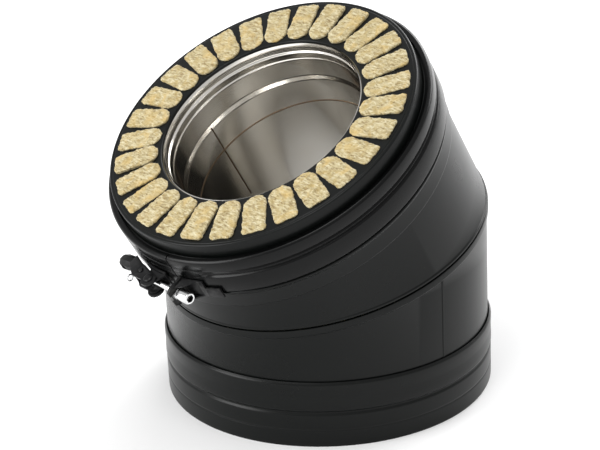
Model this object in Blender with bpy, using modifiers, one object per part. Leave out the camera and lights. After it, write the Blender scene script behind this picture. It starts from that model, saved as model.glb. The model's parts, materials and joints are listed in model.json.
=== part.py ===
"""Twin-wall flue elbow, 30 degrees: black outer casing, steel liner, mineral wool and a lever locking band.

Metres, +Z up. The lower leg stands on its skirt; the upper leg leans towards -X.
"""

import math

import bmesh
import bpy
from mathutils import Matrix

MM = 0.001
GAP = 0.3 * MM  # clearance left between pieces that touch
SIDES = 40  # flats round every large turned piece
PIN_SIDES = 16  # flats round every pin and rod

# Elbow
BEND = math.radians(30)
CASING_RADIUS = 125 * MM
CASING_WALL = 0.8 * MM
LINER_BORE = 75 * MM
LINER_WALL = 0.6 * MM
LOWER_LEG = 122 * MM  # floor to the centre of the mitre
UPPER_LEG = 122 * MM  # centre of the mitre to the face of the upper end plate
MITRE_LIP = 7 * MM
MITRE_PROUD = 1.2 * MM

# Collars: sleeves over the two ends of the casing
LOWER_COLLAR_HEIGHT = 52 * MM
SKIRT_HEIGHT = 27.5 * MM
UPPER_COLLAR_HEIGHT = 61.6 * MM
COLLAR_OVERLAP = 12 * MM
COLLAR_SWELL = 1.4 * MM  # how far the collars' beads stand out

# End plates
PLATE_THICKNESS = 1.0 * MM
PLATE_RIM_STEP = 2.5 * MM  # rim of the upper plate, inside the casing's radius
PLATE_RIM_DEPTH = 10 * MM
PLATE_HEM = 3.5 * MM
BORE_MARGIN = 4.0 * MM  # bore of the upper plate, outside the liner
LOWER_PLATE_HEIGHT = 31 * MM
SLOT_COUNT = 29
SLOT_PHASE = math.radians(7.5)  # first slot, round from the outer side of the bend
SLOT_WEB = 1.767 * MM  # metal left between two slots' round ends
SLOT_INNER_MARGIN = 2.4 * MM
SLOT_OUTER_MARGIN = 5.7 * MM
SLOT_CORNER = 3 * MM
TUFT_HEIGHT = 2.4 * MM  # wool standing proud of the upper plate

# Liner socket, measured down from its mouth
SOCKET_LENGTH = 59 * MM
SOCKET_CLEARANCE = 2.2 * MM  # socket bore over the liner's bore
SOCKET_BEAD = 1.4 * MM
SOCKET_PROUD = 1.1 * MM  # socket mouth above the plate's face
SPIGOT_LIFT = 3 * MM  # lower end of the liner above the floor

# Locking band
BAND_TOP = 10.4 * MM  # upper edge below the plate's face
BAND_WIDTH = 33 * MM
BAND_WALL = 0.8 * MM
BAND_RIB = 1.8 * MM
BAND_CLEARANCE = 0.9 * MM
CLOSURE_ANGLE = math.radians(176)  # middle of the closure, round the upper axis
BAND_GAP_FROM = 17 * MM  # the split, along the tangent at the closure
BAND_GAP_TO = 18 * MM

# Closure, in its own frame: X outwards, Y along the band, Z along the upper axis
ROD_DEPTH = 36.6 * MM  # rod below the plate's face
ROD_STANDOFF = 7.0 * MM  # rod axis outside the band's ribs
ROD_RADIUS = 2.0 * MM
PIVOT_Y = -3 * MM
PIVOT_RISE = 3 * MM  # lever pivot further out than the rod: the over-centre offset
TRUNNION_Y = -15 * MM
TRUNNION_RADIUS = 3.6 * MM
JOURNAL_RADIUS = 1.9 * MM
EAR_INSIDE = 3.8 * MM
EAR_THICKNESS = 1.4 * MM
LEVER_PLATE = 1.6 * MM
LEVER_TIP_RADIUS = 6.6 * MM
LEVER_KNEE_Y = -19 * MM
LEVER_KNEE_OUT = 3.4 * MM  # outer edge of the arm at its knee, outside the pivot
LEVER_END_Y = -29.5 * MM
LEVER_END_IN = 7.9 * MM  # middle of the arm's end, inside the pivot
LEVER_END_HALF = 4.4 * MM
LEVER_BLOCK = 7 * MM  # solid end that joins the lever's two plates
RIVET_RADIUS = 2.1 * MM
RIVET_HEAD_RADIUS = 3.6 * MM
RIVET_HEAD_HEIGHT = 1.2 * MM
GRIP_LENGTH = 15 * MM
GRIP_HALF = 5.4 * MM
FORK_Y = 23.3 * MM
FORK_THICKNESS = 1.8 * MM
FORK_HALF = 9 * MM
FORK_REACH = 7 * MM  # prongs beyond the rod's axis
BRACKET_THICKNESS = 1.5 * MM
BRACKET_HALF = 7.6 * MM  # half the lever bracket's width
FOOT_END_Y = 54 * MM
WASHER_THICKNESS = 1.0 * MM
WASHER_GAP = 0.8 * MM  # slack the rod needs to pass over centre
NUT_RADIUS = 4.5 * MM
NUT_LENGTH = 11 * MM
HEX_RADIUS = 2.9 * MM
HEX_DEPTH = 4 * MM
CLIP_Y = -26.2 * MM
CLIP_WIRE = 0.6 * MM
CLIP_RING = 2.4 * MM
CLIP_DEPTH = 7 * MM  # of the pin inside the lever's end

# Derived places
MITRE_SLOPE = math.tan(BEND / 2)
PLATE_TOP = UPPER_LEG
COLLAR_INSIDE = CASING_RADIUS + GAP
RIM_RADIUS = CASING_RADIUS - PLATE_RIM_STEP
LINER_OUTSIDE = LINER_BORE + LINER_WALL
PLATE_BORE = LINER_OUTSIDE + BORE_MARGIN
SLOT_INNER = PLATE_BORE + SLOT_INNER_MARGIN
SLOT_PITCH = math.sin(math.pi / SLOT_COUNT)
SLOT_HALF = (SLOT_INNER * SLOT_PITCH - SLOT_WEB / 2) / (1 - SLOT_PITCH)
WOOL_OUTSIDE = RIM_RADIUS - PLATE_THICKNESS - GAP
SOCKET_BORE = LINER_BORE + SOCKET_CLEARANCE
SOCKET_FOOT = PLATE_TOP - SOCKET_LENGTH
COLLAR_NECK = COLLAR_INSIDE + CASING_WALL
BAND_INSIDE = COLLAR_NECK + BAND_CLEARANCE
BAND_OUTSIDE = BAND_INSIDE + BAND_WALL + BAND_RIB
ROD_HEIGHT = PLATE_TOP - ROD_DEPTH
ROD_X = BAND_OUTSIDE + ROD_STANDOFF
PIVOT_X = ROD_X + PIVOT_RISE
EAR_OUTSIDE = EAR_INSIDE + EAR_THICKNESS
LEVER_INSIDE = EAR_OUTSIDE + GAP
LEVER_OUTSIDE = LEVER_INSIDE + LEVER_PLATE
WASHER_Y = FORK_Y + FORK_THICKNESS / 2 + WASHER_GAP
NUT_Y = WASHER_Y + WASHER_THICKNESS + GAP


def clear_scene():
    for item in list(bpy.data.objects):
        bpy.data.objects.remove(item, do_unlink=True)


def new_collection(name):
    collection = bpy.data.collections.new(name)
    bpy.context.scene.collection.children.link(collection)
    return collection


def paint(name, colour, metallic, roughness):
    made = bpy.data.materials.new(name)
    made.use_nodes = True
    shader = made.node_tree.nodes["Principled BSDF"]
    shader.inputs["Base Color"].default_value = (*colour, 1.0)
    shader.inputs["Metallic"].default_value = metallic
    shader.inputs["Roughness"].default_value = roughness
    return made


clear_scene()
PARTS = new_collection("flue_elbow")
CUTTERS = new_collection("cutters")
BLACK = paint("black_enamel", (0.018, 0.019, 0.019), 0.0, 0.42)
BLACK_HARDWARE = paint("black_hardware", (0.012, 0.012, 0.013), 0.2, 0.5)
STAINLESS = paint("stainless_steel", (0.62, 0.59, 0.54), 1.0, 0.18)
ZINC = paint("bright_zinc", (0.72, 0.73, 0.74), 1.0, 0.25)
WOOL = paint("mineral_wool", (0.72, 0.62, 0.36), 0.0, 0.95)


def add_empty(name, parent=None, place=(0, 0, 0), turn=(0, 0, 0)):
    empty = bpy.data.objects.new(name, None)
    PARTS.objects.link(empty)
    empty.parent = parent
    empty.location = place
    empty.rotation_euler = turn
    return empty


def add_object(name, mesh, parent, material, smooth=True):
    """A part, or a cutter where material is None."""
    item = bpy.data.objects.new(name, mesh)
    item.parent = parent
    if material is None:
        CUTTERS.objects.link(item)
        item.hide_render = True
        item.display_type = "WIRE"
        return item
    PARTS.objects.link(item)
    mesh.materials.append(material)
    if smooth:
        mesh.shade_smooth()
        mesh.set_sharp_from_angle(angle=math.radians(35))
    return item


def finish_mesh(bm, name):
    bmesh.ops.recalc_face_normals(bm, faces=bm.faces)
    mesh = bpy.data.meshes.new(name)
    bm.to_mesh(mesh)
    bm.free()
    return mesh


def turned(name, profile, parent, material, sides=SIDES):
    """A closed outline of (radius, height) points turned about Z, running down its outer side."""
    mesh = bpy.data.meshes.new(name)
    points = [(radius, 0.0, height) for radius, height in profile]
    edges = [(i, (i + 1) % len(points)) for i in range(len(points))]
    mesh.from_pydata(points, edges, [])
    item = add_object(name, mesh, parent, material, smooth=False)
    screw = item.modifiers.new("turn", "SCREW")
    screw.steps = sides
    screw.render_steps = sides
    screw.use_smooth_shade = True
    screw.use_merge_vertices = True
    screw.merge_threshold = 0.00001
    return item


def loft_into(bm, sections, wrap=False):
    """Faces between matching sections; the ends are capped unless the last section meets the first."""
    rings = [[bm.verts.new(point) for point in section] for section in sections]
    pairs = list(zip(rings, rings[1:]))
    if wrap:
        pairs.append((rings[-1], rings[0]))
    else:
        bm.faces.new(rings[0])
        bm.faces.new(rings[-1])
    count = len(rings[0])
    for low, high in pairs:
        for i in range(count):
            j = (i + 1) % count
            bm.faces.new((low[i], low[j], high[j], high[i]))


def loft(name, sections, parent, material, wrap=False):
    bm = bmesh.new()
    loft_into(bm, sections, wrap)
    return add_object(name, finish_mesh(bm, name), parent, material)


def mitred_ring(radius, height, slope):
    """A round section whose height rises along X with the given slope."""
    turns = [2 * math.pi * i / SIDES for i in range(SIDES)]
    points = [(radius * math.cos(a), radius * math.sin(a)) for a in turns]
    return [(x, y, height + slope * x) for x, y in points]


def mitred_tube(name, rings, parent, material):
    """A tube wall from (radius, height, slope) rings: up the outer side, then down the inner side."""
    sections = [mitred_ring(*ring) for ring in rings]
    return loft(name, sections, parent, material, wrap=True)


def cylinder(name, radius, start, end, parent, material, axis="Z", centre=(0, 0), sides=PIN_SIDES):
    """A round bar along one axis; centre gives the two other coordinates, in X, Y, Z order."""
    bm = bmesh.new()
    length = end - start
    bmesh.ops.create_cone(
        bm, cap_ends=True, segments=sides, radius1=radius, radius2=radius, depth=length
    )
    middle = (start + end) / 2
    if axis == "Y":
        bmesh.ops.rotate(bm, verts=bm.verts, matrix=Matrix.Rotation(math.pi / 2, 3, "X"))
        bmesh.ops.translate(bm, verts=bm.verts, vec=(centre[0], middle, centre[1]))
    else:
        bmesh.ops.translate(bm, verts=bm.verts, vec=(centre[0], centre[1], middle))
    return add_object(name, finish_mesh(bm, name), parent, material)


def box(name, low, high, parent, material):
    bm = bmesh.new()
    bmesh.ops.create_cube(bm, size=1.0)
    sizes = [high[i] - low[i] for i in range(3)]
    middle = [(high[i] + low[i]) / 2 for i in range(3)]
    bmesh.ops.scale(bm, verts=bm.verts, vec=sizes)
    bmesh.ops.translate(bm, verts=bm.verts, vec=middle)
    return add_object(name, finish_mesh(bm, name), parent, material)


def combine(item, other, operation):
    change = item.modifiers.new(operation.lower() + "_" + other.name, "BOOLEAN")
    change.operation = operation
    change.object = other
    change.solver = "EXACT"


def cut(item, cutter):
    combine(item, cutter, "DIFFERENCE")


def join(item, helper):
    combine(item, helper, "UNION")


# ---------------------------------------------------------------- slots and tufts


def slot_outline(shrink):
    """A radial slot along +X: round inner end, square outer end with small corners."""
    half = SLOT_HALF - shrink
    inner = SLOT_INNER + shrink
    outer = RIM_RADIUS - SLOT_OUTER_MARGIN - shrink
    corner = SLOT_CORNER
    points = []
    for step in range(5):
        a = math.radians(90 + 45 * step)
        points.append((inner + half + half * math.cos(a), half * math.sin(a)))
    for side in (-1, 1):
        for step in range(2):
            a = math.radians(90 * step + 45 * (side - 1))
            x = outer - corner + corner * math.cos(a)
            y = side * (half - corner) + corner * math.sin(a)
            points.append((x, y))
    return points


def slot_prisms(levels):
    """One mesh of every slot's prism; levels are (height, shrink) pairs from the lowest up."""
    bm = bmesh.new()
    for index in range(SLOT_COUNT):
        a = SLOT_PHASE + 2 * math.pi * index / SLOT_COUNT
        sections = []
        for height, shrink in levels:
            ring = [
                (x * math.cos(a) - y * math.sin(a), x * math.sin(a) + y * math.cos(a), height)
                for x, y in slot_outline(shrink)
            ]
            sections.append(ring)
        loft_into(bm, sections)
    return bm


# ---------------------------------------------------------------- the two legs


def make_lower_leg(root):
    wall = CASING_WALL
    swell = CASING_RADIUS + GAP + wall + COLLAR_SWELL
    bead = COLLAR_INSIDE + wall
    top = LOWER_COLLAR_HEIGHT
    collar_outside = [
        (bead, top),
        (swell, top - 2 * MM),
        (swell, SKIRT_HEIGHT + 2 * MM),
        (bead, SKIRT_HEIGHT),
        (swell - 0.3 * MM, SKIRT_HEIGHT - 2 * MM),
        (swell - 0.3 * MM, 0.6 * MM),
        (swell - 0.6 * MM, 0.0),
    ]
    collar_inside = [(radius - wall, height) for radius, height in reversed(collar_outside)]
    turned("lower_collar", collar_outside + collar_inside, root, BLACK)

    start = LOWER_COLLAR_HEIGHT - COLLAR_OVERLAP - GAP
    outer, inner, m = CASING_RADIUS, CASING_RADIUS - wall, MITRE_SLOPE
    proud = MITRE_PROUD
    end = LOWER_LEG - GAP / 2
    mitred_tube(
        "lower_casing",
        [
            (outer, start, 0),
            (outer, end - MITRE_LIP, m),
            (outer + proud, end - MITRE_LIP + 1.2 * MM, m),
            (outer + proud, end - 0.8 * MM, m),
            (outer + proud - 0.5 * MM, end, m),
            (outer + proud - 0.5 * MM - wall, end, m),
            (inner + proud, end - 1.1 * MM, m),
            (inner + proud, end - MITRE_LIP + 1.4 * MM, m),
            (inner, end - MITRE_LIP, m),
            (inner, start, 0),
        ],
        root,
        BLACK,
    )

    mitred_tube(
        "lower_liner",
        [
            (LINER_OUTSIDE - 0.4 * MM, SPIGOT_LIFT, 0),
            (LINER_OUTSIDE, SPIGOT_LIFT + 3 * MM, 0),
            (LINER_OUTSIDE, end, m),
            (LINER_BORE, end, m),
            (LINER_BORE, SPIGOT_LIFT + 3 * MM, 0),
            (LINER_BORE - 0.4 * MM, SPIGOT_LIFT, 0),
        ],
        root,
        STAINLESS,
    )

    wool_start = LOWER_PLATE_HEIGHT + PLATE_THICKNESS + GAP
    mitred_tube(
        "lower_insulation",
        [
            (WOOL_OUTSIDE, wool_start, 0),
            (WOOL_OUTSIDE, end, m),
            (LINER_OUTSIDE + GAP, end, m),
            (LINER_OUTSIDE + GAP, wool_start + 2 * PLATE_HEM, 0),
            (LINER_OUTSIDE + 2 * GAP + PLATE_THICKNESS + GAP, wool_start + PLATE_HEM, 0),
            (LINER_OUTSIDE + 2 * GAP + PLATE_THICKNESS + GAP, wool_start, 0),
        ],
        root,
        WOOL,
    )

    rim = CASING_RADIUS - wall - GAP
    bore = LINER_OUTSIDE + GAP
    low = LOWER_PLATE_HEIGHT
    t = PLATE_THICKNESS
    plate = turned(
        "lower_end_plate",
        [
            (rim, low + PLATE_RIM_DEPTH),
            (rim, low + t),
            (rim - t, low),
            (bore + t, low),
            (bore, low + t),
            (bore, low + PLATE_HEM),
            (bore + t, low + PLATE_HEM),
            (bore + t, low + t),
            (rim - t, low + t),
            (rim - t, low + PLATE_RIM_DEPTH),
        ],
        root,
        BLACK,
    )
    prisms = slot_prisms([(low - 2 * MM, 0), (low + 4 * MM, 0)])
    cutter = add_object("lower_slots", finish_mesh(prisms, "lower_slots"), root, None)
    cut(plate, cutter)


def make_upper_leg(axis):
    wall = CASING_WALL
    outer, inner, m = CASING_RADIUS, CASING_RADIUS - wall, -MITRE_SLOPE
    start = GAP / 2
    proud = MITRE_PROUD - 0.5 * MM
    collar_low = PLATE_TOP - UPPER_COLLAR_HEIGHT
    mitred_tube(
        "upper_casing",
        [
            (outer + proud - 0.4 * MM, start, m),
            (outer + proud, start + 0.8 * MM, m),
            (outer + proud, start + 1.8 * MM, m),
            (outer, start + 2.8 * MM, m),
            (outer, collar_low + COLLAR_OVERLAP, 0),
            (inner, collar_low + COLLAR_OVERLAP, 0),
            (inner, start + 3.0 * MM, m),
            (inner + proud, start + 1.8 * MM, m),
            (inner + proud, start + 1.0 * MM, m),
            (inner + proud - 0.4 * MM, start, m),
        ],
        axis,
        BLACK,
    )

    swell = COLLAR_NECK + COLLAR_SWELL - 0.3 * MM
    low_groove = PLATE_TOP - BAND_TOP - BAND_WIDTH - 0.8 * MM
    outside = [
        (COLLAR_NECK, PLATE_TOP - PLATE_RIM_DEPTH - GAP),
        (COLLAR_NECK, low_groove),
        (swell, low_groove - 1.2 * MM),
        (swell, low_groove - 3.0 * MM),
        (COLLAR_NECK + 0.3 * MM, low_groove - 4.4 * MM),
        (COLLAR_NECK + 0.3 * MM, collar_low + 0.4 * MM),
        (COLLAR_NECK, collar_low),
    ]
    inside = [(radius - wall, height) for radius, height in reversed(outside)]
    turned("upper_collar", outside + inside, axis, BLACK)

    t = PLATE_THICKNESS
    rim = RIM_RADIUS
    foot_radius = COLLAR_INSIDE - GAP
    foot = PLATE_TOP - PLATE_RIM_DEPTH
    bore = PLATE_BORE
    plate = turned(
        "upper_end_plate",
        [
            (bore + 0.6 * MM, PLATE_TOP),
            (rim - 0.9 * MM, PLATE_TOP),
            (rim, PLATE_TOP - 0.9 * MM),
            (rim, foot + t),
            (foot_radius, foot),
            (foot_radius, foot - t),
            (rim - t, foot),
            (rim - t, PLATE_TOP - t),
            (bore + t, PLATE_TOP - t),
            (bore + t, PLATE_TOP - PLATE_HEM),
            (bore, PLATE_TOP - PLATE_HEM),
            (bore, PLATE_TOP - 0.6 * MM),
        ],
        axis,
        BLACK,
    )
    prisms = slot_prisms([(PLATE_TOP - 4 * MM, 0), (PLATE_TOP + 2 * MM, 0)])
    cutter = add_object("upper_slots", finish_mesh(prisms, "upper_slots"), axis, None)
    cut(plate, cutter)

    mitred_tube(
        "upper_liner",
        [
            (LINER_OUTSIDE, start, m),
            (LINER_OUTSIDE, SOCKET_FOOT - GAP, 0),
            (LINER_BORE, SOCKET_FOOT - GAP, 0),
            (LINER_BORE, start, m),
        ],
        axis,
        STAINLESS,
    )

    mouth = PLATE_TOP + SOCKET_PROUD
    bead = SOCKET_BORE + SOCKET_BEAD
    bore_line = [
        (bead, mouth),
        (SOCKET_BORE + 0.4 * MM, mouth - 2.2 * MM),
        (SOCKET_BORE, mouth - 4.2 * MM),
        (bead, mouth - 5.6 * MM),
        (bead, mouth - 7.4 * MM),
        (SOCKET_BORE, mouth - 8.8 * MM),
        (SOCKET_BORE, mouth - 13.4 * MM),
        (SOCKET_BORE - 0.8 * MM, mouth - 14.6 * MM),
        (SOCKET_BORE - 0.5 * MM, mouth - 31.6 * MM),
        (LINER_BORE, mouth - 35.2 * MM),
        (LINER_BORE, SOCKET_FOOT),
    ]
    outer_line = [(radius + LINER_WALL, height) for radius, height in bore_line]
    turned("liner_socket", outer_line + list(reversed(bore_line)), axis, STAINLESS)

    wool_top = PLATE_TOP - t - GAP
    hem_inside = PLATE_BORE + t + GAP
    socket_side = bead + LINER_WALL + GAP
    wool = mitred_tube(
        "upper_insulation",
        [
            (WOOL_OUTSIDE, start, m),
            (WOOL_OUTSIDE, wool_top, 0),
            (hem_inside, wool_top, 0),
            (hem_inside, PLATE_TOP - PLATE_HEM - 1 * MM, 0),
            (socket_side, PLATE_TOP - PLATE_HEM - 1 * MM, 0),
            (socket_side, SOCKET_FOOT - 1 * MM, 0),
            (LINER_OUTSIDE + GAP, SOCKET_FOOT - 2 * MM, 0),
            (LINER_OUTSIDE + GAP, start, m),
        ],
        axis,
        WOOL,
    )
    levels = [
        (wool_top - 3 * MM, GAP),
        (PLATE_TOP + 0.4 * TUFT_HEIGHT, GAP),
        (PLATE_TOP + TUFT_HEIGHT, 2.2 * MM),
    ]
    tufts = add_object("tufts", finish_mesh(slot_prisms(levels), "tufts"), axis, None)
    join(wool, tufts)


# ---------------------------------------------------------------- locking band and closure


def angle_at(y):
    """Angle from the closure's middle to a point y along the band's outside."""
    return y / BAND_OUTSIDE


def band_height(y, above):
    """X of a point some height above the band's outside, at distance y along the tangent."""
    return math.sqrt((BAND_OUTSIDE + above) ** 2 - y**2)


def arc_plate(name, inner, thickness, y_from, y_to, low, high, parent, material, steps=6):
    """A curved plate that hugs the band between two distances along it, in the closure's frame."""
    sections = []
    for step in range(steps + 1):
        a = angle_at(y_from + (y_to - y_from) * step / steps)
        c, s = math.cos(a), math.sin(a)
        outer = inner + thickness
        ring = [(inner * c, inner * s, low), (outer * c, outer * s, low)]
        ring += [(outer * c, outer * s, high), (inner * c, inner * s, high)]
        sections.append(ring)
    return loft(name, sections, parent, material)


def prism(name, outline, low, high, parent, material):
    """A flat outline in X and Y, given thickness along Z."""
    sections = [[(x, y, height) for x, y in outline] for height in (low, high)]
    return loft(name, sections, parent, material)


def make_band(closure):
    top = ROD_DEPTH - BAND_TOP  # heights in the closure's frame
    low = top - BAND_WIDTH
    edge = BAND_INSIDE + BAND_WALL
    rib = BAND_OUTSIDE
    upper_rib_low = top - 0.36 * BAND_WIDTH
    lower_rib_top = upper_rib_low - 0.14 * BAND_WIDTH
    outside = [
        (edge, top),
        (rib, top - 1.6 * MM),
        (rib, upper_rib_low + 1.4 * MM),
        (edge, upper_rib_low),
        (edge, lower_rib_top),
        (rib, lower_rib_top - 1.6 * MM),
        (rib, low + 1.6 * MM),
        (edge, low),
    ]
    inside = [(radius - BAND_WALL, height) for radius, height in reversed(outside)]
    band = turned("locking_band", outside + inside, closure, BLACK)
    cutter = box(
        "band_split",
        (BAND_INSIDE - 9 * MM, BAND_GAP_FROM, low - 5 * MM),
        (BAND_OUTSIDE + 5 * MM, BAND_GAP_TO, top + 5 * MM),
        closure,
        None,
    )
    cut(band, cutter)


def make_lever_bracket(closure):
    seat = BAND_OUTSIDE + GAP
    sunk = GAP + 0.7 * BRACKET_THICKNESS
    bracket = arc_plate(
        "lever_bracket", seat, BRACKET_THICKNESS, -13 * MM, 7 * MM, -BRACKET_HALF, BRACKET_HALF,
        closure, BLACK_HARDWARE,
    )
    for name, side in (("upper_ear", 1), ("lower_ear", -1)):
        outline = [(band_height(PIVOT_Y - 7 * MM, sunk), PIVOT_Y - 7 * MM)]
        for step in range(9):
            a = math.radians(-90 + 22.5 * step)
            x = PIVOT_X + 4.6 * MM * math.cos(a)
            outline.append((x, PIVOT_Y + 4.6 * MM * math.sin(a)))
        outline.append((band_height(PIVOT_Y + 9 * MM, sunk), PIVOT_Y + 9 * MM))
        ends = sorted((side * EAR_INSIDE, side * EAR_OUTSIDE))
        ear = prism(name, outline, *ends, closure, None)
        join(bracket, ear)
    hole = cylinder(
        "pivot_hole", RIVET_RADIUS + GAP, -EAR_OUTSIDE - MM, EAR_OUTSIDE + MM,
        closure, None, centre=(PIVOT_X, PIVOT_Y),
    )
    cut(bracket, hole)
    for name, side in (("upper_pivot_rivet", 1), ("lower_pivot_rivet", -1)):
        head = LEVER_OUTSIDE + GAP
        profile = [
            (0.3 * MM, side * (head + RIVET_HEAD_HEIGHT)),
            (RIVET_HEAD_RADIUS - 0.7 * MM, side * (head + RIVET_HEAD_HEIGHT)),
            (RIVET_HEAD_RADIUS, side * (head + 0.4 * RIVET_HEAD_HEIGHT)),
            (RIVET_HEAD_RADIUS, side * head),
            (RIVET_RADIUS, side * head),
            (RIVET_RADIUS, side * EAR_INSIDE),
            (0.3 * MM, side * EAR_INSIDE),
        ]
        pivot = add_empty(name + "_seat", closure, (PIVOT_X, PIVOT_Y, 0))
        solid_of_turn(name, profile, pivot, BLACK_HARDWARE)


def solid_of_turn(name, profile, parent, material, sides=PIN_SIDES):
    """A solid pin: stacked round sections lofted about Z, with flat ends."""
    sections = []
    for radius, height in profile:
        turns = [2 * math.pi * i / sides for i in range(sides)]
        sections.append([(radius * math.cos(a), radius * math.sin(a), height) for a in turns])
    return loft(name, sections, parent, material)


def make_catch_bracket(closure):
    seat = BAND_OUTSIDE + GAP
    sunk = GAP + 0.6 * BRACKET_THICKNESS
    low, high = -FORK_HALF, FORK_HALF - 2 * MM
    bracket = arc_plate(
        "catch_bracket", seat, BRACKET_THICKNESS, BAND_GAP_TO + 1.5 * MM, 42 * MM, low, high,
        closure, BLACK_HARDWARE,
    )
    foot = arc_plate(
        "catch_foot", seat, BRACKET_THICKNESS, 41 * MM, FOOT_END_Y, low, 0.0, closure, None, 3
    )
    join(bracket, foot)
    y_from = FORK_Y - FORK_THICKNESS / 2
    y_to = FORK_Y + FORK_THICKNESS / 2
    tip = ROD_X + FORK_REACH
    notch = ROD_RADIUS + GAP
    flat = notch * math.tan(math.radians(22.5))
    fork_outline = [
        (band_height(FORK_Y, sunk), -FORK_HALF),
        (tip - 4 * MM, -FORK_HALF),
        (tip, -FORK_HALF + 2.5 * MM),
        (tip, -notch - GAP),
        (ROD_X, -notch - GAP),
        (ROD_X - flat, -notch),
        (ROD_X - notch, -flat),
        (ROD_X - notch, flat),
        (ROD_X - flat, notch),
        (ROD_X, notch + GAP),
        (tip, notch + GAP),
        (tip, FORK_HALF - 2.5 * MM),
        (tip - 4 * MM, FORK_HALF),
        (band_height(FORK_Y, sunk), FORK_HALF),
    ]
    sections = [[(x, y, z) for x, z in fork_outline] for y in (y_from, y_to)]
    fork = loft("fork", sections, closure, None)
    join(bracket, fork)
    outline = [
        (band_height(y_from, sunk), y_from + 0.4 * MM),
        (ROD_X + 1 * MM, y_from + 0.4 * MM),
        (ROD_X - 3.5 * MM, 30 * MM),
        (band_height(38 * MM, sunk), 38 * MM),
    ]
    for name, height in (("upper_gusset", FORK_HALF - 3.6 * MM), ("lower_gusset", -FORK_HALF)):
        gusset = prism(name, outline, height, height + BRACKET_THICKNESS, closure, None)
        join(bracket, gusset)


def lever_outline():
    """Side view of a lever plate about its pivot: round tip, arm that follows the band."""
    tip = LEVER_TIP_RADIUS
    points = []
    for step in range(9):
        a = math.radians(-60 + 22.5 * step)
        points.append((tip * math.cos(a), tip * math.sin(a)))
    end_y = LEVER_END_Y - PIVOT_Y
    knee_y = LEVER_KNEE_Y - PIVOT_Y
    points.append((-tip - 1.4 * MM, TRUNNION_Y - PIVOT_Y))
    points.append((-tip - 1.8 * MM, knee_y))
    points.append((-LEVER_END_IN - LEVER_END_HALF, end_y))
    points.append((-LEVER_END_IN + LEVER_END_HALF, end_y))
    points.append((LEVER_KNEE_OUT, knee_y))
    return points


def make_lever(closure):
    swing = add_empty("lever_swing_axis", closure, (PIVOT_X, PIVOT_Y, 0))
    lever = prism("lever", lever_outline(), -LEVER_OUTSIDE, LEVER_OUTSIDE, swing, BLACK_HARDWARE)
    channel = box(
        "lever_channel",
        (-40 * MM, LEVER_END_Y + LEVER_BLOCK - PIVOT_Y, -LEVER_INSIDE),
        (40 * MM, 40 * MM, LEVER_INSIDE),
        swing,
        None,
    )
    cut(lever, channel)
    reach = LEVER_OUTSIDE + MM
    pivot_hole = cylinder("lever_pivot_hole", RIVET_RADIUS + GAP, -reach, reach, swing, None)
    journal_place = (ROD_X - PIVOT_X, TRUNNION_Y - PIVOT_Y)
    journal_hole = cylinder(
        "journal_hole", JOURNAL_RADIUS + GAP, -reach, reach, swing, None, centre=journal_place
    )
    share = (CLIP_Y - LEVER_KNEE_Y) / (LEVER_END_Y - LEVER_KNEE_Y)
    edge = LEVER_KNEE_OUT + share * (LEVER_END_HALF - LEVER_END_IN - LEVER_KNEE_OUT)
    clip_place = (edge, CLIP_Y - PIVOT_Y)
    clip_seat = add_empty("clip_seat", swing, (*clip_place, 0), (0, math.pi / 2, 0))
    clip_hole = cylinder(
        "clip_hole", CLIP_WIRE + GAP, -20 * MM, 20 * MM, clip_seat, None, sides=12
    )
    for hole in (pivot_hole, journal_hole, clip_hole):
        cut(lever, hole)
    make_grip(swing)
    make_clip(swing, clip_place)
    make_rod(swing, journal_place)


def make_grip(swing):
    """Moulded end of the lever: an eight-sided block with a round recess in its outer face."""
    start = LEVER_END_Y - GAP - PIVOT_Y
    middle_x = -LEVER_END_IN
    sections = []
    for share, scale in ((0, 0.82), (0.14, 0.84), (0.34, 1.0), (0.8, 1.0), (1, 0.72)):
        along = share * GRIP_LENGTH
        ring = []
        for corner in range(8):
            a = math.radians(22.5 + 45 * corner)
            reach = GRIP_HALF * scale / math.cos(math.radians(22.5))
            x = middle_x + reach * math.cos(a) + 0.08 * along
            ring.append((x, start - along, reach * math.sin(a)))
        sections.append(ring)
    grip = loft("lever_grip", sections, swing, BLACK_HARDWARE)
    bm = bmesh.new()
    bmesh.ops.create_cone(
        bm, cap_ends=True, segments=16, radius1=2.2 * MM, radius2=2.2 * MM, depth=8 * MM
    )
    bmesh.ops.rotate(bm, verts=bm.verts, matrix=Matrix.Rotation(math.pi / 2, 3, "Y"))
    recess_x = middle_x + GRIP_HALF + 3 * MM
    bmesh.ops.translate(bm, verts=bm.verts, vec=(recess_x, start - 0.62 * GRIP_LENGTH, 0))
    recess = add_object("grip_recess", finish_mesh(bm, "grip_recess"), swing, None)
    cut(grip, recess)


def make_clip(swing, place):
    """A bent wire pin in the lever's end, with a ring outside to pull it by."""
    curve = bpy.data.curves.new("safety_clip", "CURVE")
    curve.dimensions = "3D"
    curve.bevel_depth = CLIP_WIRE
    curve.bevel_resolution = 1
    curve.use_fill_caps = True
    x, y = place
    outside = x + 2.2 * MM
    route = [(x - CLIP_DEPTH, y, 0.0), (outside, y, 0.0)]
    for step in range(1, 11):
        a = math.radians(180 - 33 * step)
        route.append((outside + CLIP_RING * (1 + math.cos(a)), y, CLIP_RING * math.sin(a)))
    spline = curve.splines.new("POLY")
    spline.points.add(len(route) - 1)
    for point, spot in zip(spline.points, route):
        point.co = (*spot, 1.0)
    clip = bpy.data.objects.new("safety_clip", curve)
    clip.parent = swing
    PARTS.objects.link(clip)
    curve.materials.append(ZINC)


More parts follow.
